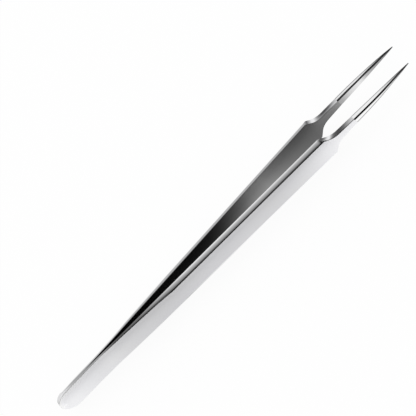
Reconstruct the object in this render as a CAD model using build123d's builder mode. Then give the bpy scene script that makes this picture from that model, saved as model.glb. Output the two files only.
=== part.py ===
from build123d import *
import os
from math import atan, cos, radians, sin, tan

# Straight tweezers with very fine points, lying on their lower edges as they come to rest on a bench.
# Two arms of half-round steel strip are welded together at the heel and spread towards the points.
# X runs from the heel to the points, Y across the gap between the arms, Z across the arms' width.
# The origin is on the bench, under the middle of the tweezers.

# Driving dimensions, in millimetres and degrees.
LENGTH = 140.0  # heel's end to the tips of the points
WELD_LENGTH = 13.5  # the two arms are one piece over this length
GRIND_LENGTH = 35.0  # from the weld forward, the taper that lets the arms flex
FLEX_LENGTH = 7.0  # from the weld forward, to where the taper is thinnest
NECK_LENGTH = 10.6  # from the shoulder to the start of the ground points
POINT_LENGTH = 21.2  # of a ground point
HEEL_WIDTH = 8.8  # width of the arms at the heel
SHOULDER_WIDTH = 10.0  # width of the arms at the shoulder, where they are widest
NECK_WIDTH = 3.2  # where the shoulder runs out into the neck
NECK_RISE = 0.15  # of the neck's middle line over the arm's, dying out along the points
POINT_WIDTH = 2.45  # of a point where it begins
TIP_WIDTH = 0.16  # of a point at its very end
HEEL_THICKNESS = 0.7  # each arm at the weld
FLEX_THICKNESS = 0.6  # each arm where the taper is thinnest
ARM_THICKNESS = 1.42  # each arm at its full section
TIP_THICKNESS = 0.12
SHOULDER_GAP = 6.46  # between the arms at the shoulder
TIP_GAP = 7.6  # between the tips with the tweezers open
EDGE_ROUND = 1.15  # radius of the strip's long outer edges
SHOULDER_SLOPE = 50.0  # angle of the shoulder to the arm's length
SHOULDER_ROUND = 0.6  # radius of the shoulder's corner
NECK_CURVE = 5.0  # radius of the hollow between shoulder and neck
NECK_BEVEL = 0.2  # along the outer edges of shoulder and neck, dying out along the points
POINT_SPANS = 10  # straight spans that a point's curved outlines are made of

# Places along the arms, from the heel's end.
flex_at = WELD_LENGTH + FLEX_LENGTH
grind_end = WELD_LENGTH + GRIND_LENGTH
point_at = LENGTH - POINT_LENGTH
shoulder_at = point_at - NECK_LENGTH

# The long edges spread evenly from heel to shoulder, and the lower ones lie on the bench.
edge_angle = atan((SHOULDER_WIDTH - HEEL_WIDTH) / 2 / shoulder_at)
start = Vector(-LENGTH / 2, 0, HEEL_WIDTH / 2 * cos(edge_angle))
forward = Vector(cos(edge_angle), 0, sin(edge_angle))
side = Plane(origin=start, x_dir=forward, z_dir=(0, -1, 0))
plan = Plane(origin=start, x_dir=forward, z_dir=side.y_dir)

# Bodies that cut an arm to shape reach past it on every side.
tall = 2 * SHOULDER_WIDTH
deep = TIP_GAP + 4 * ARM_THICKNESS
past = 1.0


def half_width(x):
    """Half the width of an arm's broad part at x."""
    return HEEL_WIDTH / 2 + x * tan(edge_angle)


def strip_gap(x):
    """From the middle plane to the inner face of an arm's broad part at x, carried on past both its ends."""
    return SHOULDER_GAP / 2 * (x - WELD_LENGTH) / (shoulder_at - WELD_LENGTH)


def point_gap(x):
    """From the middle plane to the inner face of a neck and point at x."""
    return (SHOULDER_GAP + (TIP_GAP - SHOULDER_GAP) * (x - shoulder_at) / (LENGTH - shoulder_at)) / 2


def neck_end(way):
    """Where the shoulder's slope meets the neck's upper side, with way as 1, or its lower side, with -1."""
    out = NECK_WIDTH / 2 + way * NECK_RISE
    return (shoulder_at + (half_width(shoulder_at) - out) / tan(radians(SHOULDER_SLOPE)), way * out)


def across(x):
    """The plane square to the arms at x, with its own X along the part's Y."""
    return Plane(origin=start + forward * x, x_dir=(0, 1, 0), z_dir=forward)


def strip_section(x, inner, outer):
    """Section of strip at x between two places across it, with its rounded edges at outer."""
    with BuildSketch(across(x), mode=Mode.PRIVATE) as section:
        with Locations((outer, 0)):
            Rectangle(outer - inner, 2 * half_width(x), align=(Align.MAX, Align.CENTER))
        fillet(section.vertices().sort_by(Axis.X)[-2:], EDGE_ROUND)
    return section.sketch


def point_section(share):
    """Section of a ground point, a share of the way from its start to its tip."""
    x = point_at + share * POINT_LENGTH
    wide = (TIP_WIDTH + (POINT_WIDTH - TIP_WIDTH) * (1 - share**1.5) ** 0.6) / 2
    thick = TIP_THICKNESS + (ARM_THICKNESS - TIP_THICKNESS) * (1 - share**2)
    bevel = NECK_BEVEL * min(wide / POINT_WIDTH * 2, thick / ARM_THICKNESS)
    low, high = NECK_RISE * (1 - share) - wide, NECK_RISE * (1 - share) + wide
    inner, outer = point_gap(x), point_gap(x) + thick
    with BuildSketch(across(x), mode=Mode.PRIVATE) as section:
        with BuildLine():
            Polyline(
                (inner, low),
                (outer - bevel, low),
                (outer, low + bevel),
                (outer, high - bevel),
                (outer - bevel, high),
                (inner, high),
                close=True,
            )
        make_face()
    return section.sketch


# Both arms seen from the side, from the rounded heel to the start of the ground points.
with BuildSketch(mode=Mode.PRIVATE) as outline:
    heel_radius = half_width(0) * cos(edge_angle) / (1 - sin(edge_angle))
    heel_end = (heel_radius * (1 - sin(edge_angle)), heel_radius * cos(edge_angle))
    shoulder = half_width(shoulder_at)
    with BuildLine():
        Polyline(heel_end, (shoulder_at, shoulder), neck_end(1), (point_at, POINT_WIDTH / 2 + NECK_RISE))
        Line((point_at, POINT_WIDTH / 2 + NECK_RISE), (point_at, NECK_RISE - POINT_WIDTH / 2))
        Polyline(
            (point_at, NECK_RISE - POINT_WIDTH / 2),
            neck_end(-1),
            (shoulder_at, -shoulder),
            (heel_end[0], -heel_end[1]),
        )
        ThreePointArc(heel_end, (0, 0), (heel_end[0], -heel_end[1]))
    make_face()
    for way in (1, -1):
        for corner, radius in ((neck_end(way), NECK_CURVE), ((shoulder_at, way * shoulder), SHOULDER_ROUND)):
            fillet([v for v in outline.vertices() if (Vector(v) - Vector(*corner)).length < TIP_WIDTH], radius)

# The heel: both arms ground thin and welded flat against each other.
with BuildPart() as heel:
    loft([strip_section(x, -deep, ARM_THICKNESS) for x in (-past, WELD_LENGTH + past)], ruled=True)
    mirror(about=Plane.XZ, mode=Mode.INTERSECT)
    with BuildSketch(plan):
        Rectangle(WELD_LENGTH, 2 * HEEL_THICKNESS, align=(Align.MIN, Align.CENTER))
    extrude(amount=tall, both=True, mode=Mode.INTERSECT)
    with BuildSketch(side):
        add(outline.sketch)
    extrude(amount=deep, both=True, mode=Mode.INTERSECT)

# The left arm, from the weld's front edge to the tip of its point.
with BuildPart() as left_arm:
    ends = (WELD_LENGTH - past, point_at + past)
    loft([strip_section(x, -deep, strip_gap(x) + ARM_THICKNESS) for x in ends], ruled=True)
    with BuildSketch(plan):
        with BuildLine():
            Polyline(
                (WELD_LENGTH, 0),
                (shoulder_at, point_gap(shoulder_at)),
                (LENGTH, point_gap(LENGTH)),
                (LENGTH, point_gap(LENGTH) + ARM_THICKNESS),
                (shoulder_at, point_gap(shoulder_at) + ARM_THICKNESS),
                (grind_end, strip_gap(grind_end) + ARM_THICKNESS),
                (flex_at, strip_gap(flex_at) + FLEX_THICKNESS),
                (WELD_LENGTH, HEEL_THICKNESS),
                close=True,
            )
        make_face()
    extrude(amount=tall, both=True, mode=Mode.INTERSECT)
    with BuildSketch(side):
        add(outline.sketch)
    extrude(amount=deep, both=True, mode=Mode.INTERSECT)
    # The outer face of shoulder and neck is the last of the outer faces. Its first and last edges run across
    # the arm, and its curved ones, where it meets the rounded edges, are splines.
    neck_face = left_arm.faces().filter_by(lambda f: f.normal_at().Y > 0.9).sort_by(Axis.X)[-1]
    neck_edges = neck_face.edges().filter_by(lambda e: e.geom_type != GeomType.BSPLINE).sort_by(Axis.X)[1:-1]
    chamfer(neck_edges, NECK_BEVEL)
    loft([point_section(step / POINT_SPANS) for step in range(POINT_SPANS + 1)], ruled=True)

with BuildPart() as right_arm:
    add(left_arm.part)
    mirror(about=Plane.XZ, mode=Mode.REPLACE)

os.makedirs("parts", exist_ok=True)
for name, piece in (("heel", heel.part), ("left_arm", left_arm.part), ("right_arm", right_arm.part)):
    piece.label = name
    export_step(piece, f"parts/{name}.step")
    print(name, len(piece.solids()), round(piece.volume, 2), piece.bounding_box())
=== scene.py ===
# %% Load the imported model
from math import atan, atan2, cos, degrees, pi, radians, sin, tan

import bpy
import numpy as np
from mathutils import Matrix, Vector


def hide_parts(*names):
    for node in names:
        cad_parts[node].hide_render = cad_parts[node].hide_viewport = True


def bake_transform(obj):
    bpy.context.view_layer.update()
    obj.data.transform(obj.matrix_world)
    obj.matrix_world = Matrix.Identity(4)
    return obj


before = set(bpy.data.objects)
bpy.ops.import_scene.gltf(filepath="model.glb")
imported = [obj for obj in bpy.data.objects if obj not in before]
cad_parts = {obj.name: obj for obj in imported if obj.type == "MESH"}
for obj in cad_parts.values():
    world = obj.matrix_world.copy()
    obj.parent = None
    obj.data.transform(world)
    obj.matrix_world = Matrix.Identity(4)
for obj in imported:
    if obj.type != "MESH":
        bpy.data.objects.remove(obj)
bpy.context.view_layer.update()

MM = 0.001


# %% [markdown]
# The part is a pair of straight steel tweezers with very fine points. It lies on its lower edges, with X
# along the arms, Y across the gap between them and Z up. All sizes below are in millimetres, because that
# is how a maker thinks of them, and they are the values that the solids are made from. Only the bow and the
# height of the points differ from the solids', by up to a fifth of a millimetre. Millimetres become metres
# only when a mesh or the camera is placed.

# %% Sizes of the tweezers, in millimetres and degrees
LENGTH = 140.0
END = LENGTH / 2
WELD_LENGTH = 13.5
FLEX_AT = WELD_LENGTH + 7.0
GRIND_END = WELD_LENGTH + 35.0
POINT_LENGTH = 21.2
POINT_AT = LENGTH - POINT_LENGTH
SHOULDER_AT = POINT_AT - 10.6
HEEL_WIDTH = 8.8
SHOULDER_WIDTH = 10.0
NECK_WIDTH = 3.2
NECK_RISE = 0.15
POINT_WIDTH = 2.45
TIP_WIDTH = 0.16
HEEL_THICKNESS = 0.7
FLEX_THICKNESS = 0.6
ARM_THICKNESS = 1.42
TIP_THICKNESS = 0.12
SHOULDER_GAP = 6.46
TIP_GAP = 7.6
EDGE_ROUND = 1.15
SHOULDER_SLOPE = radians(50.0)
SHOULDER_ROUND = 0.6
NECK_CURVE = 5.0

edge_angle = atan((SHOULDER_WIDTH - HEEL_WIDTH) / 2 / SHOULDER_AT)
print("the long edges spread by", round(degrees(edge_angle), 3), "degrees")

# %% [markdown]
# The camera stands where the photographer stood: a little to the right of the middle, looking down at
# about 52 degrees, and turned so that the tweezers run from the lower left of the picture to the upper
# right. A long lens keeps the two arms nearly parallel. A camera's own axes are right, up and backward, so
# its rotation is the matrix whose columns are these three directions.

# %% Camera
YAW = radians(-17.194)
ELEVATION = radians(51.698)
ROLL = radians(59.80)
DISTANCE = 489.52
TARGET = np.array([0.837, 11.040, 5.0])
NUDGE = 0.1425
LENS = 148.60
SENSOR = 36.0

sight = np.array([sin(YAW) * cos(ELEVATION), cos(YAW) * cos(ELEVATION), -sin(ELEVATION)])
sideways = np.array([cos(YAW), -sin(YAW), 0.0])
upward = np.cross(sideways, sight)
camera_x = cos(ROLL) * sideways - sin(ROLL) * upward
camera_y = sin(ROLL) * sideways + cos(ROLL) * upward
aim = TARGET + NUDGE * (camera_y - camera_x)

camera_data = bpy.data.cameras.new("camera")
camera_data.lens = LENS
camera_data.sensor_width = SENSOR
camera_data.clip_start = 0.01
camera_data.clip_end = 20.0
camera = bpy.data.objects.new("camera", camera_data)
camera_turn = Matrix(np.column_stack([camera_x, camera_y, -sight]).tolist()).to_4x4()
camera.matrix_world = Matrix.Translation(Vector((aim - sight * DISTANCE) * MM)) @ camera_turn
bpy.context.scene.collection.objects.link(camera)
bpy.context.scene.camera = camera
bpy.context.scene.view_settings.view_transform = "Standard"
print("the camera stands at", [round(v, 1) for v in aim - sight * DISTANCE], "mm")

# %% [markdown]
# Seen from the side, an arm is a long blade: a round heel, a straight edge that widens slowly, a shoulder
# that drops at 50 degrees through a hollow into the neck, and a point whose sides curve in to nothing. This
# outline could be drawn as a curve object and filled, but the arm's edges follow it with rounds and bevels
# of their own, so it is worked out here as a list of places, each with the direction square to it. The
# surface of the arm is then a profile carried along that list.

# %% The outline of an arm, seen from the side
def edge_height(x):
    """Height of the straight long edge above the middle line: half the heel's width plus x times the tangent
    of the angle at which the edges spread."""
    return HEEL_WIDTH / 2 + x * tan(edge_angle)


def arc(centre, radius, begin, stop, count):
    """Places on a circle: centre plus radius times the sine and cosine of an angle from begin to stop, where
    0 is straight up and a positive angle leans back to the heel."""
    angle = np.linspace(begin, stop, count)
    outward = np.column_stack([-np.sin(angle), np.cos(angle)])
    return centre + radius * outward, outward


def straight(begin, stop, count):
    """Places on a line, a share of the way from begin to stop, with the direction square to it. Both its ends
    are left to its neighbours."""
    share = np.linspace(0, 1, count + 2)[1:-1, None]
    along = (stop - begin) / np.linalg.norm(stop - begin)
    outward = np.array([-along[1], along[0]])
    return begin + share * (stop - begin), np.tile(outward, (count, 1))


heel_radius = HEEL_WIDTH / 2 * cos(edge_angle) / (1 - sin(edge_angle))
shoulder = np.array([SHOULDER_AT, edge_height(SHOULDER_AT)])
neck = np.array([SHOULDER_AT + (shoulder[1] - NECK_WIDTH / 2) / tan(SHOULDER_SLOPE), NECK_WIDTH / 2])
point_start = np.array([POINT_AT, POINT_WIDTH / 2])
neck_angle = atan2(point_start[1] - neck[1], point_start[0] - neck[0])
NECK_RUN_OUT = 0.1

slope_way = np.array([cos(SHOULDER_SLOPE), -sin(SHOULDER_SLOPE)])
shoulder_cut = SHOULDER_ROUND * tan((SHOULDER_SLOPE + edge_angle) / 2)
round_from = shoulder - shoulder_cut * np.array([cos(edge_angle), sin(edge_angle)])
round_centre = round_from + SHOULDER_ROUND * np.array([sin(edge_angle), -cos(edge_angle)])
hollow_from = neck - slope_way * NECK_CURVE * tan((SHOULDER_SLOPE + neck_angle) / 2)
hollow_centre = hollow_from + NECK_CURVE * np.array([sin(SHOULDER_SLOPE), cos(SHOULDER_SLOPE)])

heel_end = arc(np.array([heel_radius, 0.0]), heel_radius, pi / 2, edge_angle, 30)
corner = arc(round_centre, SHOULDER_ROUND, edge_angle, -SHOULDER_SLOPE, 14)
hollow = arc(hollow_centre, -NECK_CURVE, -SHOULDER_SLOPE, neck_angle, 22)
long_edge = straight(heel_end[0][-1], corner[0][0], 84)
slope = straight(corner[0][-1], hollow[0][0], 6)
neck_end = point_start - NECK_RUN_OUT * np.array([cos(neck_angle), sin(neck_angle)])
neck_edge = straight(hollow[0][-1], neck_end, 16)
neck_last = (neck_end[None, :], neck_edge[1][:1])
print("the shoulder's slope runs from", corner[0][-1].round(2), "to", hollow[0][0].round(2))

# %% [markdown]
# The point is ground by hand, so its sides bow outwards and close quickly at the very tip. A power curve
# gives that bow with two numbers. The places are closer together towards the tip, where it bends most.

# %% The point's outline
def point_half_width(share):
    """Half the width of the point, a share of the way to its tip: the tip's half width plus the rest times
    one minus the share to the power 1.2, all to the power 0.68."""
    return (TIP_WIDTH + (POINT_WIDTH - TIP_WIDTH) * (1 - share**1.2) ** 0.68) / 2


point_share = 1 - (1 - np.linspace(0, 1, 49)) ** 1.6
point_edge = np.column_stack([POINT_AT + point_share * POINT_LENGTH, point_half_width(point_share)])
lean = np.gradient(point_edge[:, 1]) / np.gradient(point_edge[:, 0])
point_out = np.column_stack([-lean, np.ones_like(lean)]) / np.hypot(lean, 1)[:, None]

parts = [heel_end, long_edge, corner, slope, hollow, neck_edge, neck_last, (point_edge, point_out)]
outline = np.concatenate([places for places, _ in parts])
square = np.concatenate([outward for _, outward in parts])
station_x = outline[:, 0]
print("the outline has", len(outline), "places, from", outline[0].round(3), "to", outline[-1].round(3))

# %% [markdown]
# Seen from above, both arms lie flat against each other at the weld, and from there they spread. Their
# outer faces are ground away over the first third, so that the steel can flex there. These functions give
# the inner and the outer face at any place along the arm, for the whole row of places at once.

# %% Thickness and spread of an arm, seen from above
def gap(x):
    """From the middle plane to the inner face: nothing along the weld, then growing evenly to half the
    shoulder's gap at the shoulder, and evenly again to half the tip's gap at the tip."""
    return np.interp(x, [WELD_LENGTH, SHOULDER_AT, LENGTH], [0, SHOULDER_GAP / 2, TIP_GAP / 2])


def thickness(x):
    """The ground taper in the first third, thinnest a little before the weld, then the full strip, and along
    the point the tip's thickness plus the rest times one minus the share squared."""
    share = np.clip((x - POINT_AT) / POINT_LENGTH, 0, 1)
    flex, full = gap(FLEX_AT) + FLEX_THICKNESS, gap(GRIND_END) + ARM_THICKNESS
    taper = np.interp(x, [WELD_LENGTH, FLEX_AT, GRIND_END], [HEEL_THICKNESS, flex, full])
    strip = TIP_THICKNESS + (ARM_THICKNESS - TIP_THICKNESS) * (1 - share**2)
    return np.where(x < GRIND_END, taper - gap(x), strip)


some = np.array([5.0, 30.0, 80.0, 130.0])
print("an arm is", thickness(some).round(2), "thick at", some, "from the heel's end")

# %% [markdown]
# The strip that the arms are cut from is half round: its two outer edges have a radius of 1.15. The edge of
# the arm is therefore a profile with five stretches, from the middle of the outer face round to the middle
# of the inner face: outer face, rounding or bevel, the narrow edge itself, a small break where it meets the
# inner face, and the inner face. Where the taper, the shoulder and the neck cut into the strip, the
# rounding gets shorter or goes over into a plain bevel. The points are ground by hand: the right one has wide
# bevels along its outer face, and the left one has a wide bevel along the top of its inner face.

# %% Widths of the bevels along the arm
EDGE_BREAK = 0.05
INNER_BREAK = 0.1
SEAM_BREAK = 0.02
NECK_BEVEL = 0.2
FINE_BREAK = 0.02
POINT_BEVEL_DEEP = 0.22
POINT_BEVEL_WIDE = 0.55
POINT_BEVEL_SHARE = 0.64
OUTER_DEPTH_SHARE = 0.3
INNER_DEPTH_SHARE = 0.45
SEAM_RUN_OUT = 12.0
SHOULDER_RUN_OUT = 1.0


def along_arm(x, stops):
    """A value that goes evenly from stop to stop along the arm. Each stop is a place and a value."""
    return np.interp(x, [place for place, _ in stops], [value for _, value in stops])


half = outline[:, 1]
thick = thickness(station_x)
on_point = np.arange(len(outline)) >= len(outline) - len(point_edge)
point_wide = np.minimum(POINT_BEVEL_WIDE, half * POINT_BEVEL_SHARE)
point_deep = np.minimum(POINT_BEVEL_DEEP, thick * OUTER_DEPTH_SHARE)
wide_stops = [(POINT_AT, 0.18), (POINT_AT + 7.4, 0.2), (POINT_AT + 10.6, 0.24), (POINT_AT + 13.8, 0.42)]
deep_stops = [(POINT_AT, 0.58), (POINT_AT + 4.2, 0.54), (POINT_AT + 7.4, 0.46)]
break_wide = np.minimum(along_arm(station_x, wide_stops), half * POINT_BEVEL_SHARE)
break_deep = np.minimum(along_arm(station_x, deep_stops), thick * INNER_DEPTH_SHARE)
plain_bevel = along_arm(station_x, [(SHOULDER_AT, EDGE_BREAK), (SHOULDER_AT + SHOULDER_RUN_OUT, NECK_BEVEL)])
fine_bevel = along_arm(station_x, [(POINT_AT, EDGE_BREAK), (LENGTH, FINE_BREAK)])
inner_stops = [
    (WELD_LENGTH, SEAM_BREAK), (WELD_LENGTH + SEAM_RUN_OUT, INNER_BREAK), (SHOULDER_AT, INNER_BREAK),
    (SHOULDER_AT + SHOULDER_RUN_OUT, FINE_BREAK),
]
inner_break = along_arm(station_x, inner_stops)
wide_outer = np.where(on_point, [point_wide, point_deep], plain_bevel)
fine_outer = np.array([fine_bevel, fine_bevel])
wide_inner = np.where(on_point, [break_wide, break_deep], inner_break)
fine_inner = np.array([inner_break, inner_break])
print("the points' outer bevels are", point_wide[on_point][[0, -1]].round(3), "wide at their two ends")

# %% [markdown]
# Now the surface itself. Each place on the outline looks inward to a place on the arm's middle line: right
# below it along the blade, and fanned out around the round heel so that the faces there don't crowd into
# one point. Every point of the surface is a share of that way, with its own distance from the middle
# plane. Rows follow the outline, columns follow the profile, and both are whole arrays.

# %% Rows of the upper half of an arm
HEEL_FAN = 0.55
TINY = 1e-6
spine_x = np.where(station_x < heel_radius, station_x + (heel_radius - station_x) * HEEL_FAN, station_x)
inward = np.column_stack([spine_x, np.zeros_like(spine_x)]) - outline
reach = np.maximum(-(square * inward).sum(axis=1), TINY)


def column(share, across):
    """One column of the surface: each outline place plus a share of the way to the middle line, with its
    distance across from the middle plane. Gives x, y and z, one row for each place."""
    flat = outline + np.asarray(share)[:, None] * inward
    return np.column_stack([flat[:, 0], across, flat[:, 1]])


def rounding():
    """Where the strip's rounding begins and ends at each place. The rounding is a quarter circle from the
    strip's edge, so its angle at a depth below that edge is the angle whose cosine is one minus depth over
    radius, and the ground outer face ends it where radius times sine reaches that face."""
    depth = np.clip(edge_height(station_x) - half, 0, EDGE_ROUND)
    begin = np.arccos(1 - depth / EDGE_ROUND)
    full = (thick - (ARM_THICKNESS - EDGE_ROUND)) / EDGE_ROUND
    stop = np.arcsin(np.clip(full, 0, 1))
    return depth, np.minimum(begin, stop), stop


depth, round_begin, round_stop = rounding()
inner_y = gap(station_x)
outer_y = inner_y + thick
round_y = inner_y + ARM_THICKNESS - EDGE_ROUND
thinnest = round_stop[~on_point].min()
print("the rounding ends at", round(degrees(thinnest), 1), "degrees where the taper is thinnest")


# %% [markdown]
# One function makes all the columns of half an arm, from the outer face round to the inner face. The rounding
# follows the angle of its circle. Columns lie closer together near the borders of the faces and of the narrow
# edge, because the light changes most there.

# %% Columns of the profile
FACE_STEPS = 9
ROUND_STEPS = 14
EDGE_STEPS = 6
BREAK_STEPS = 2


def round_at(share):
    """Depth share and distance across of the strip's rounding, a share of the way through its angle."""
    angle = round_begin + share * (round_stop - round_begin)
    drop = np.maximum(EDGE_ROUND * (1 - np.cos(angle)) - depth, 0)
    return drop / np.maximum(half, TINY), round_y + EDGE_ROUND * np.sin(angle)


FAR = 9.0
MOST_INWARD = 0.9
LEAST_ROUNDING = 1e-4
ROUNDED_OVER = 0.5
FIELDS = ("border", "outer_border", "turn")
face_shares = np.linspace(0, 1, FACE_STEPS + 1) ** 2


def half_ring(outer_bevel, inner_bevel):
    """The columns of one half of an arm, from the middle of the outer face to the middle of the inner face,
    with their zones. Each bevel is a width and a depth. Every point also keeps how far it lies from its
    zone's border and from the outer bevel, and how far round the rounding it lies, from 0 to 1."""
    (outer_wide, outer_deep), (inner_wide, inner_deep) = outer_bevel, inner_bevel
    ends = round_at(0.0), round_at(1.0)
    bevel_in = np.minimum(outer_wide / reach, MOST_INWARD)
    break_in = np.minimum(inner_wide / reach, MOST_INWARD)
    round_in = np.where(on_point | (round_stop - round_begin < LEAST_ROUNDING), 0, ends[1][0])
    corner_in = np.maximum(bevel_in, round_in)
    edge_y = np.minimum(np.where(on_point, outer_y, ends[0][1]), outer_y - outer_deep)
    edge_wide = edge_y - inner_y - inner_deep
    rounded = ~on_point & (round_in > bevel_in * ROUNDED_OVER)
    made = []
    for share in face_shares[:0:-1]:
        places = column(corner_in + share * (1 - corner_in), outer_y)
        made.append(("face", places, share * (1 - corner_in) * half, FAR, 1))
    for share in np.linspace(1, 0, ROUND_STEPS + 1)[:-1]:
        depth_now, across_now = round_at(share)
        bulge_in = depth_now - (ends[0][0] + share * (ends[1][0] - ends[0][0]))
        bulge_y = across_now - (ends[0][1] + share * (ends[1][1] - ends[0][1]))
        in_by = share * corner_in + np.where(rounded, bulge_in, 0)
        places = column(in_by, edge_y + share * (outer_y - edge_y) + np.where(rounded, bulge_y, 0))
        made.append(("rounding", places, inner_deep + edge_wide, 0, share))
    for share in (1 + np.cos(np.linspace(0, pi, EDGE_STEPS + 1)[:-1])) / 2:
        from_inside = inner_deep + share * edge_wide
        places = column(0 * half, inner_y + from_inside)
        made.append(("edge", places, from_inside, (1 - share) * edge_wide, 0))
    for share in np.linspace(1, 0, BREAK_STEPS + 1)[:-1]:
        from_inside = share * inner_deep
        places = column((1 - share) * break_in, inner_y + from_inside)
        made.append(("break", places, from_inside, FAR, 0))
    for share in face_shares:
        places = column(break_in + share * (1 - break_in), inner_y)
        made.append(("inside", places, share * (1 - break_in) * half, FAR, 0))
    zones = [row[0] for row in made]
    kept = {name: np.stack([row[k] + 0 * half for row in made], axis=1) for k, name in enumerate(FIELDS, 2)}
    return zones, np.stack([row[1] for row in made], axis=1), kept


zones, upper, _ = half_ring(wide_outer, fine_inner)
print("half a ring has", upper.shape[0], "rows and", upper.shape[1], "columns")

# %% [markdown]
# The lower half is like the mirror of the upper half, and the two share the columns along the middle line.
# Only the neck and the point lie a little above that line. At the heel's very end their first rows lie on
# each other, so they share those points too, and a face with many corners closes the tip. Numbering the
# points in one array and pointing twice at the shared ones keeps the surface closed without any merging
# afterwards. Each number with its neighbours in the next row and column then gives a face.

# %% A closed surface from the rows and columns
rows, wide = upper.shape[:2]
around = 2 * wide - 2
ring_zones = np.array(zones[:-1] + zones[-2:0:-1] + zones[:1])
numbers = np.arange(rows * around).reshape(rows, around)
numbers[0, wide:] = numbers[0, wide - 2:0:-1]

next_number = np.roll(numbers, -1, axis=1)
quads = np.stack([numbers[:-1], numbers[1:], next_number[1:], next_number[:-1]], axis=-1).reshape(-1, 4)
quad_zone = np.tile(ring_zones, rows - 1)
quad_on_point = np.repeat(on_point[:-1], around)
rise_stops = [
    (SHOULDER_AT, 0), (neck[0], NECK_RISE), (POINT_AT, 0.12), (POINT_AT + 7.4, -0.03), (LENGTH, -0.05),
]


def closed_ring(outer_bevel, upper_inner, lower_inner):
    """Both halves of an arm as one ring of columns, the lower one upside down, raised along the neck and the
    point, with the fields of all its points."""
    _, upper, upper_fields = half_ring(outer_bevel, upper_inner)
    _, lower, lower_fields = half_ring(outer_bevel, lower_inner)
    ring = np.concatenate([upper, lower[:, -2:0:-1] * [1, 1, -1]], axis=1)
    ring[:, :, 2] += along_arm(ring[:, :, 0], rise_stops)
    fields = {}
    for name in FIELDS:
        fields[name] = np.concatenate([upper_fields[name], lower_fields[name][:, -2:0:-1]], axis=1).ravel()
    return ring, fields


print("an arm has", len(quads), "faces with four corners")

# %% [markdown]
# The arms' own frame leans back by the small angle of the edges, because the lower edges lie flat on the
# bench. Turning the whole array by that angle and moving it sets an arm in place. The right arm is the left
# one mirrored across the middle plane, which turns its faces inside out, so the left one's are reversed.

# %% Make a mesh in its place
SATIN, POLISHED, INSIDE, OUTER_FACET, SIDE_FACET, INNER_FACET, BEVEL = range(7)
zone_finish = {"face": SATIN, "rounding": POLISHED, "edge": POLISHED, "break": POLISHED, "inside": INSIDE}
point_finish = {"face": OUTER_FACET, "edge": SIDE_FACET, "inside": INNER_FACET}
left_finish = point_finish | {"rounding": SIDE_FACET, "break": BEVEL}
right_finish = point_finish | {"rounding": BEVEL, "break": SIDE_FACET}
SHARP = radians(28)


def in_place(points, side):
    """Points of the arms' own frame put in the part's frame, in metres: X is x times the cosine of the edge
    angle less z times its sine, and Z is the other way round. The side is 1 or -1."""
    x, y, z = points.reshape(-1, 3).T
    placed_x = -LENGTH / 2 + x * cos(edge_angle) - z * sin(edge_angle)
    placed_z = HEEL_WIDTH / 2 * cos(edge_angle) + x * sin(edge_angle) + z * cos(edge_angle)
    return np.column_stack([placed_x, side * y, placed_z]) * MM


def arm(name, side, pointed, ring, fields):
    """One arm with its half of the heel, as a closed mesh of the rows and columns. The finishes of its
    point's zones are in pointed."""
    faces = quads[:, ::-1] if side > 0 else quads
    tip = numbers[-1] if side > 0 else numbers[-1, ::-1]
    used, renumbered = np.unique(faces, return_inverse=True)
    back = np.zeros(numbers.max() + 1, int)
    back[used] = np.arange(len(used))
    corners = renumbered.reshape(-1, 4).tolist() + [back[tip].tolist()]
    mesh = bpy.data.meshes.new(name)
    mesh.from_pydata(in_place(ring, side)[used], [], corners)
    finish = [pointed[z] if p else zone_finish[z] for z, p in zip(quad_zone, quad_on_point)] + [BEVEL]
    mesh.polygons.foreach_set("material_index", np.array(finish, dtype=np.int32))
    for label, values in fields.items():
        attribute = mesh.attributes.new(label, "FLOAT", "POINT")
        attribute.data.foreach_set("value", values[used].astype(np.float32))
    mesh.shade_smooth()
    mesh.set_sharp_from_angle(angle=SHARP)
    mesh.update()
    piece = bpy.data.objects.new(name, mesh)
    bpy.context.scene.collection.objects.link(piece)
    print(name, "has", len(mesh.vertices), "points and", len(mesh.polygons), "faces")
    return piece


left_arm = arm("left_arm_steel", 1, left_finish, *closed_ring(fine_outer, wide_inner, fine_inner))
right_arm = arm("right_arm_steel", -1, right_finish, *closed_ring(wide_outer, fine_inner, fine_inner))

# %% [markdown]
# A real pair of tweezers has no hinge: it flexes over the ground taper. The mechanism stands in for that
# with a small turn of each arm at the weld. Here each new arm takes the place of its CAD arm and of the
# heel, which are hidden, and its mesh keeps its place with its transform baked in.

# %% Each arm takes the place of its CAD pieces
for piece, body in ((left_arm, "left_arm"), (right_arm, "right_arm")):
    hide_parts(body, "heel")
    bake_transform(piece)

# %% [markdown]
# Shader maths is easier to read as sums than as a list of nodes. A small class wraps a node's output, and
# its operators add the Math node that does the sum. One method adds any other node: settings first, then
# values or links for its sockets.

# %% A shader's nodes as sums
class Value:
    """A number that varies over a surface: the output of a node."""

    def __init__(self, graph, socket):
        self.graph = graph
        self.socket = socket

    def sum(self, operation, *values):
        """A Math node's result: the operation done to the values, in their order."""
        return self.graph.node("ShaderNodeMath", {"operation": operation}, dict(enumerate(values)))

    def __add__(self, other):
        return self.sum("ADD", self, other)

    def __sub__(self, other):
        return self.sum("SUBTRACT", self, other)

    def __rsub__(self, other):
        return self.sum("SUBTRACT", other, self)

    def __mul__(self, other):
        return self.sum("MULTIPLY", self, other)

    __radd__ = __add__
    __rmul__ = __mul__


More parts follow.
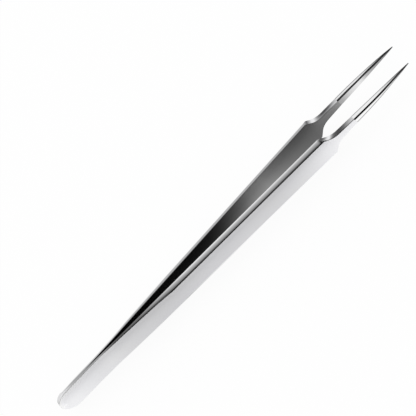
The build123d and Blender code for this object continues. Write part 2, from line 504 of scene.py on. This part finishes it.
class Graph:
    """The nodes of a material or of the world."""

    def __init__(self, owner):
        owner.use_nodes = True
        self.tree = owner.node_tree
        self.tree.nodes.clear()

    def node(self, kind, settings=None, sockets=None, output=0):
        """Adds a node, sets it, fills its sockets by number, name or identifier, and gives an output."""
        made = self.tree.nodes.new(kind)
        for name, value in (settings or {}).items():
            if name == "stops":
                self.set_stops(made.color_ramp, value)
            else:
                setattr(made, name, value)
        for key, value in (sockets or {}).items():
            socket = self.find(made.inputs, key)
            if isinstance(value, Value):
                self.tree.links.new(value.socket, socket)
            else:
                socket.default_value = value
        return Value(self, self.find(made.outputs, output)) if len(made.outputs) else made

    @staticmethod
    def find(sockets, key):
        """The socket with a number, or the one in use with a name or identifier."""
        if isinstance(key, int):
            return sockets[key]
        return next(s for s in sockets if key in (s.identifier, s.name) and s.enabled)

    @staticmethod
    def set_stops(ramp, stops):
        """Gives a colour ramp its stops, each a place from 0 to 1 and a level of grey."""
        while len(ramp.elements) > 1:
            ramp.elements.remove(ramp.elements[-1])
        for number, (place, level) in enumerate(stops):
            element = ramp.elements[0] if number == 0 else ramp.elements.new(place)
            element.position = place
            element.color = (level, level, level, 1)

    def mix(self, share, first, second):
        """A colour between two colours."""
        settings = {"data_type": "RGBA"}
        sockets = {"Factor_Float": share, "A_Color": first, "B_Color": second}
        return self.node("ShaderNodeMix", settings, sockets, "Result_Color")

    def grey(self, level):
        """A colour whose three parts are one number."""
        return self.node("ShaderNodeCombineXYZ", {}, {0: level, 1: level, 2: level})

    def tint(self, colour, level):
        """A colour made darker or lighter: each of its parts times a number."""
        sockets = {"Factor_Float": 1.0, "A_Color": colour, "B_Color": self.grey(level)}
        settings = {"data_type": "RGBA", "blend_type": "MULTIPLY"}
        return self.node("ShaderNodeMix", settings, sockets, "Result_Color")

    def ramp(self, value, begin, stop, stops):
        """A number looked up along a row of stops, each a place between begin and stop and a level."""
        scaled = [((place - begin) / (stop - begin), level) for place, level in stops]
        share = self.node("ShaderNodeMapRange", {}, {"Value": value, "From Min": begin, "From Max": stop})
        colour = self.node("ShaderNodeValToRGB", {"stops": scaled}, {0: share})
        return self.node("ShaderNodeSeparateColor", {}, {0: colour})

    def noise(self, place, size, detail=2.0, stretch=(1, 1, 1)):
        """Soft noise between 0 and 1. The size of its patches is in metres, and stretch lengthens them."""
        scale = [1 / s for s in stretch]
        moved = self.node("ShaderNodeMapping", {}, {"Vector": place, "Scale": scale})
        return self.node("ShaderNodeTexNoise", {}, {"Vector": moved, "Scale": 1 / size, "Detail": detail})


def material(name):
    """A new material with its graph and its place on the object."""
    made = bpy.data.materials.new(name)
    graph = Graph(made)
    return made, graph, graph.node("ShaderNodeTexCoord", {}, {}, "Object")


def distance(graph, place, axis):
    """How far a place lies along an axis, in millimetres."""
    return graph.node("ShaderNodeSeparateXYZ", {}, {0: place}, axis) * (1 / MM)


NEAR = 4


def field(graph, name):
    """A number that the mesh keeps for each of its points. Distances from a border matter up to NEAR."""
    return graph.node("ShaderNodeAttribute", {"attribute_name": name}, {}, "Fac")


def left_side(graph, place):
    """1 on the left arm and 0 on the right arm."""
    return graph.ramp(distance(graph, place, "Y"), -1, 1, [(-0.05, 0), (0.05, 1)])


def steel(graph, colour, roughness, height=None, deep=0.0):
    """A bare metal surface with its colour, roughness and, where given, fine relief of a depth in metres."""
    sockets = {"Base Color": colour, "Roughness": roughness, "Metallic": 1.0}
    if height is not None:
        relief = {"Height": height, "Strength": 1.0, "Distance": deep}
        sockets["Normal"] = graph.node("ShaderNodeBump", {}, relief)
    shader = graph.node("ShaderNodeBsdfPrincipled", {}, sockets)
    graph.node("ShaderNodeOutputMaterial", {}, {"Surface": shader})


def seen_directly(graph):
    """1 for the camera's own rays, also through glass, and 0 for all others."""
    camera_ray = graph.node("ShaderNodeLightPath", {}, {}, "Is Camera Ray")
    return camera_ray + graph.node("ShaderNodeLightPath", {}, {}, "Is Transmission Ray")


FACE_GRAIN = 0.00006
EDGE_GRAIN = 0.00004
GROUND_GRAIN = 0.00003
GROUND_STRETCH = (1, 8, 8)
CLOUD = 0.011
SATIN_RELIEF = 0.000003
PRESSED_RELIEF = 0.000002
FINE_RELIEF = 0.000001
print("shader sums are ready, and the finest grain is", GROUND_GRAIN / MM, "mm")

# %% [markdown]
# The broad outer faces have a fine satin finish: short scratches along the arm, far too fine to see one by
# one from here, and soft clouds where the wheel pressed a little more or less. The scratches come from
# noise that is stretched along X, and they go into both the roughness and a bump of a few micrometres.
# Their brightness along the arm is a painted reflection, light at the heel and the shoulder and darker in
# between, and a painted highlight runs along the face's upper border, strongest towards the heel.

# %% Satin outer faces
satin, graph, place = material("satin_steel")
along = distance(graph, place, "X")
grain = graph.noise(place, FACE_GRAIN, 3.0, (14, 1, 1))
cloud = graph.noise(place, CLOUD, 1.0, (1.6, 1, 0.6))
colour = graph.mix(cloud, (0.915, 0.915, 0.95, 1), (0.98, 0.98, 0.985, 1))
# Painted reflection: how bright the outer face is along the arm.
stops = [
    (-70, 0.95), (-66, 0.94), (-62, 0.89), (-58, 0.85), (-54, 0.81), (-50, 0.79), (-44, 0.72), (-38, 0.69),
    (-30, 0.66), (-22, 0.66), (-14, 0.68), (-6, 0.7), (4, 0.7), (18, 0.7), (23, 0.725), (28, 0.765),
    (33, 0.83), (37, 0.9), (41, 0.95),
]
# Painted highlight along the face's upper border, strongest towards the heel.
painted_edge_highlight = graph.ramp(field(graph, "border"), 0, NEAR, [(0, 0.3), (0.35, 0.12), (1.6, 0)])
painted_edge_highlight = painted_edge_highlight * graph.ramp(distance(graph, place, "Z"), 0, SHOULDER_WIDTH, [(3, 0), (6, 1)])
painted_edge_highlight = painted_edge_highlight * graph.ramp(along, -END, END, [(12, 1), (26, 0.4)])
level = graph.ramp(along, -END, END, stops) * (1 + painted_edge_highlight)
steel(graph, graph.tint(colour, level), 0.27 + grain * 0.10, grain, SATIN_RELIEF)
print(satin.name)

# %% [markdown]
# The strip's edges, the shoulder and the neck are polished bright. Their colour holds painted reflections
# that change along the arm: painted duller over the ground weld at the heel, and a painted highlight in the
# hollow of the shoulder between two painted darker turns. The two arms turn different sides to the light,
# so each has its own row of painted stops. What lies round the rounding, from its edge at 0 to the outer
# face at 1, carries a painted dark line on the right arm and painted shade on the left one, and painted
# shade runs along the left arm's neck. A painted highlight lies on the right arm's rounding at the heel,
# and a painted reflection brightens the lower edge towards the point.

# %% Polished edges
polished, graph, place = material("polished_steel")
along = distance(graph, place, "X")
grain = graph.noise(place, EDGE_GRAIN, 2.0, (20, 1, 1))
# Painted reflections: how bright each arm's polished edges are along the arm.
right_stops = [
    (-70, 0.78), (-68, 0.82), (-66, 0.9), (-64.5, 0.8), (-62.5, 0.54), (-60.5, 0.45), (-57, 0.4), (-50, 0.36),
    (-47, 0.24), (-44, 0.12), (-40, 0.14), (-34, 0.22), (-30, 0.38), (-22, 0.7), (-15, 0.93), (20, 0.9),
    (37.4, 0.8), (38.0, 0.1), (38.8, 0.1), (39.3, 0.25), (39.9, 0.8), (40.4, 0.98), (41.0, 0.5), (41.5, 0.2),
    (42, 0.13), (42.5, 0.095), (43.5, 0.075), (44.2, 0.09), (45.5, 0.17), (46.5, 0.32), (47.5, 0.48),
    (48.8, 0.66),
]
left_stops = [
    (-70, 0.8), (-68, 0.8), (-66, 0.82), (-64.5, 0.68), (-62.5, 0.5), (-60.5, 0.44), (-57, 0.43), (-54, 0.5),
    (-51, 0.62), (-44, 0.8), (-38, 0.5), (38.2, 0.46), (38.8, 0.12), (39.1, 0.14), (39.6, 0.75), (40.1, 0.95),
    (40.6, 0.9), (41.2, 0.5), (41.6, 0.38), (42, 0.31), (43, 0.25), (44, 0.235), (45, 0.3), (46, 0.37),
    (47, 0.52), (48, 0.62), (48.8, 0.68),
]
EDGE_MIDDLE = 0.7
RIGHT_SLANT = 0.7
SLANT_STEP = 0.9
LEFT_GAIN = 2
left = left_side(graph, place)
across_edge = field(graph, "border")
slanted = along + (across_edge - EDGE_MIDDLE) * (RIGHT_SLANT - SLANT_STEP * left)
right_level = graph.ramp(slanted, -END, END, right_stops)
left_level = graph.ramp(slanted, -END, END, left_stops)
turn = field(graph, "turn")
# Painted shade on the left arm's rounding, near its narrow edge.
left_level = left_level * graph.ramp(turn, 0, 1, [(0.22, 0.5), (0.5, 1)]) * LEFT_GAIN
# Painted shade along the left arm's neck.
painted_neck_shade_stops = [
    (41.3, 0), (42, 0.27), (43, 0.58), (44, 0.68), (45, 0.67), (46, 0.57), (47, 0.41), (48, 0.2), (48.8, 0.1),
]
neck_shade_across_stops = [(0.08, 0.7), (0.28, 0), (0.38, 0), (0.8, 1), (1.15, 1), (1.4, 0.8)]
neck_shade_across = graph.ramp(across_edge, 0, NEAR, neck_shade_across_stops)
painted_neck_shade = graph.ramp(along, -END, END, painted_neck_shade_stops) * neck_shade_across
left_level = left_level * (1 - painted_neck_shade)
# A painted dark line round the right arm's rounding.
line = graph.ramp(turn, 0, 1, [(0.45, 0), (0.65, 1), (0.85, 1), (0.97, 0)])
line_stops = [(-46, 0), (-40, 0.6), (-30, 0.8), (-20, 0.5), (-10, 0.35), (10, 0.2), (36, 0.3), (38, 0)]
line = line * graph.ramp(along, -END, END, line_stops)
# A painted highlight on the right arm's rounding at the heel, and painted shade round its turn.
painted_heel_shine = graph.ramp(along, -END, END, [(-64, 0), (-62, 0.7), (-50, 0.7), (-46, 0)])
painted_turn_shade = graph.ramp(turn, 0, 1, [(0, 1), (0.15, 0.9), (0.5, 0.88)])
right_level = right_level * painted_turn_shade * (1 - line) * (1 + painted_heel_shine * turn)
# A painted reflection brightens the lower edge, from the middle towards the point.
painted_low_reflection = graph.ramp(distance(graph, place, "Z"), 0, SHOULDER_WIDTH, [(1.3, 1), (2.0, 0)])
painted_low_reflection = painted_low_reflection * graph.ramp(along, -END, END, [(-20, 0), (10, 1)])
level = right_level + (left_level - right_level) * left
level = level + (1 - level) * painted_low_reflection
steel(graph, graph.tint((0.96, 0.96, 0.97, 1), level), 0.05 + grain * 0.04, grain, FINE_RELIEF)
print(polished.name)

# %% [markdown]
# The inner faces are left as they come from the press. Their colour is painted darker than the outer
# ones': painted shade that turns almost black deep in the gap near the weld, where hardly any light reaches
# them, painted reflection further along, and painted shade along their borders.

# %% Inner faces
inner, graph, place = material("inner_steel")
along = distance(graph, place, "X")
grain = graph.noise(place, FACE_GRAIN, 3.0, (10, 1, 1))
# Painted shade and reflection along the inner face: almost black near the weld.
stops = [
    (-56, 0.015), (-12, 0.02), (-8, 0.03), (-4, 0.055), (0, 0.12), (8, 0.37), (13, 0.57), (18, 0.63),
    (23, 0.49), (28, 0.38), (33, 0.31), (38, 0.28), (43, 0.33), (46, 0.37), (48, 0.37),
]
# Painted shade along the inner face's borders.
painted_rim_shade = graph.ramp(field(graph, "border"), 0, NEAR, [(0, 0.3), (0.45, 0)])
level = graph.ramp(along, -END, END, stops) * (1 - painted_rim_shade)
steel(graph, graph.tint((0.9, 0.9, 0.9, 1), level), 0.42 + grain * 0.08, grain, PRESSED_RELIEF)
print(inner.name)

# %% [markdown]
# The points are ground last, on a fine wheel. Their broad sides are painted almost white near the neck and
# painted darker to the tip, with painted shade along their borders. The wide bevels between them are
# painted nearly black as a dark reflection, and the change from the neck is a crisp line.

# %% Ground points
RIM_WIDTH = 0.32
POINT_FROM = 48


def ground(name, stops, rim_depth, left_level=1.0):
    """A ground facet whose painted reflection follows stops along the point, with painted shade towards its
    borders.
    """
    made, graph, place = material(name)
    grain = graph.noise(place, GROUND_GRAIN, 2.0, GROUND_STRETCH)
    left = left_side(graph, place)
    # Painted shade along the facet's borders.
    painted_rim_shade_stops = [(0, rim_depth), (RIM_WIDTH / 2, rim_depth * 0.7), (RIM_WIDTH, 0)]
    painted_rim_shade = graph.ramp(field(graph, "border"), 0, NEAR, painted_rim_shade_stops) * (1 - left)
    painted_rim_shade = painted_rim_shade + graph.ramp(field(graph, "outer_border"), 0, NEAR, painted_rim_shade_stops) * left
    # Painted reflection along the point.
    level = graph.ramp(distance(graph, place, "X"), POINT_FROM, END, stops)
    level = level * (1 - painted_rim_shade) * (1 - left * (1 - left_level))
    steel(graph, graph.tint((0.98, 0.98, 0.98, 1), level), 0.12 + grain * 0.06, grain, FINE_RELIEF)
    return made


stops = [(48.8, 1.0), (58, 1.0), (62, 0.8), (66, 0.35), (68, 0.1)]
outer_facet = ground("ground_outer_steel", stops, 0.3)
stops = [(48.8, 0.9), (56, 0.93), (59, 0.88), (62.6, 0.62), (66, 0.22), (68, 0.08)]
side_facet = ground("ground_side_steel", stops, 0.8, 0.93)
stops = [
    (48.8, 0.38), (50, 0.41), (53, 0.68), (56.2, 0.82), (57.5, 0.75), (59.4, 0.48), (62.6, 0.36), (66, 0.3),
    (68, 0.1),
]
inner_facet = ground("ground_inner_steel", stops, 0.35)

# The bevels are painted nearly black: a painted dark reflection.
bevel, graph, place = material("painted_dark_bevel_steel")
grain = graph.noise(place, GROUND_GRAIN, 2.0, GROUND_STRETCH)
steel(graph, graph.tint((0.055, 0.055, 0.057, 1), 0.8 + grain * 0.2), 0.2 + grain * 0.05, grain, FINE_RELIEF)
for piece in (left_arm, right_arm):
    for finish in (satin, polished, inner, outer_facet, side_facet, inner_facet, bevel):
        piece.data.materials.append(finish)
print("each arm has", len(left_arm.data.materials), "finishes")

# %% [markdown]
# Polished steel shows the room and little of its own colour. For reflections, the world is a soft slope of
# light from high behind the tweezers down to a dark low front, and the floor glows with painted light near
# the arms and painted dark further out. To the camera, both stay plain and pale.

# %% World
world = bpy.data.worlds.new("studio")
bpy.context.scene.world = world
graph = Graph(world)
PALE = (1.0, 1.0, 1.0, 1)
SKY = (0.92, 0.92, 0.92, 1)
way = graph.node("ShaderNodeTexCoord", {}, {}, "Generated")
toward = graph.node("ShaderNodeSeparateXYZ", {}, {0: way}, "Y")
stops = [
    (-1, 0.15), (-0.97, 0.25), (-0.875, 0.36), (-0.724, 0.43), (-0.53, 0.485), (-0.29, 0.54), (0.03, 0.65),
    (0.242, 0.76), (0.58, 0.95), (1, 0.95),
]
slope_light = graph.ramp(toward, -1, 1, stops)
glossy = graph.node("ShaderNodeLightPath", {}, {}, "Is Glossy Ray")
sky = graph.mix(glossy, SKY, graph.grey(slope_light))
sky = graph.mix(seen_directly(graph), sky, PALE)
light = graph.node("ShaderNodeBackground", {}, {"Color": sky, "Strength": 1.0})
graph.node("ShaderNodeOutputWorld", {}, {"Surface": light})
print("the world is ready")

# %% [markdown]
# The floor is one large square just under the tweezers. Its shader is plain white, lifted for the camera so
# that the ground reads as white and still keeps a little of the object's shadow. What the steel mirrors of it
# is a glow painted in bright and dark bands beside the near arm, at a distance beyond its outer face, with a
# painted shadow under and between the arms that stops at the points.

# %% Floor
FLOOR_HALF = 3.0
FLOOR_DROP = 0.00002
LIFT = 0.92
NEAREST = -80
FARTHEST = 60
corners = np.array([[-1, -1, 0], [1, -1, 0], [1, 1, 0], [-1, 1, 0]]) * FLOOR_HALF - [0, 0, FLOOR_DROP]
floor_mesh = bpy.data.meshes.new("floor")
floor_mesh.from_pydata(corners, [], [(0, 1, 2, 3)])
floor = bpy.data.objects.new("floor", floor_mesh)
bpy.context.scene.collection.objects.link(floor)

pale, graph, place = material("pale_floor")
along = distance(graph, place, "X")
across = distance(graph, place, "Y")
arm_face = {"Value": along, "From Min": -56.5, "From Max": 38, "To Min": 0.7, "To Max": 4.65}
edge_line = graph.node("ShaderNodeMapRange", {}, arm_face)
beyond = 0 - across - edge_line
# Painted light and shade for reflections: bright just beyond the near arm, nearly black further out, and a
# painted shadow under and between the arms.
stops = [
    (NEAREST, 0.95), (-12, 0.9), (-7.5, 0.57), (-5, 0.58), (-1, 0.5), (-0.7, 1.0), (7.4, 1.0), (8.3, 0.3),
    (9.1, 0.03), (FARTHEST, 0.03),
]
outside_light = graph.ramp(beyond, NEAREST, FARTHEST, stops)
between = graph.ramp(beyond, NEAREST, FARTHEST, [(-1, 1), (0, 0)])
between = between * graph.ramp(along, -END, END, [(46, 0), (48, 1)])
outside_light = outside_light + (1 - outside_light) * between
plain = graph.node("ShaderNodeBsdfDiffuse", {}, {"Color": (0.9, 0.9, 0.9, 1)})
lifted = graph.node("ShaderNodeEmission", {}, {"Color": PALE, "Strength": 1.0})
mirrored = graph.node("ShaderNodeEmission", {}, {"Color": graph.grey(outside_light), "Strength": 1.0})
glossy = graph.node("ShaderNodeLightPath", {}, {}, "Is Glossy Ray")
shader = graph.node("ShaderNodeMixShader", {}, {0: seen_directly(graph) * LIFT, 1: plain, 2: lifted})
shader = graph.node("ShaderNodeMixShader", {}, {0: glossy, 1: shader, 2: mirrored})
graph.node("ShaderNodeOutputMaterial", {}, {"Surface": shader})
floor_mesh.materials.append(pale)
print("the floor is", FLOOR_HALF * 2, "m wide")

# %% [markdown]
# One wide, weak lamp stands behind the tweezers and gives the ground its soft shadow. Reflections don't show
# it, because the world already holds the light that the steel mirrors.

# %% Lamp
LAMP_AT = Vector((-0.25, 0.35, 0.8))
LAMP_SIZE = 0.9
LAMP_POWER = 1.2
lamp_data = bpy.data.lights.new("soft_lamp", "AREA")
lamp_data.shape = "DISK"
lamp_data.size = LAMP_SIZE
lamp_data.energy = LAMP_POWER
lamp = bpy.data.objects.new("soft_lamp", lamp_data)
lamp.location = LAMP_AT
lamp.rotation_euler = (-LAMP_AT).to_track_quat("-Z", "Y").to_euler()
lamp.visible_glossy = False
bpy.context.scene.collection.objects.link(lamp)
print("the lamp is", round(lamp.location.length, 2), "m away")
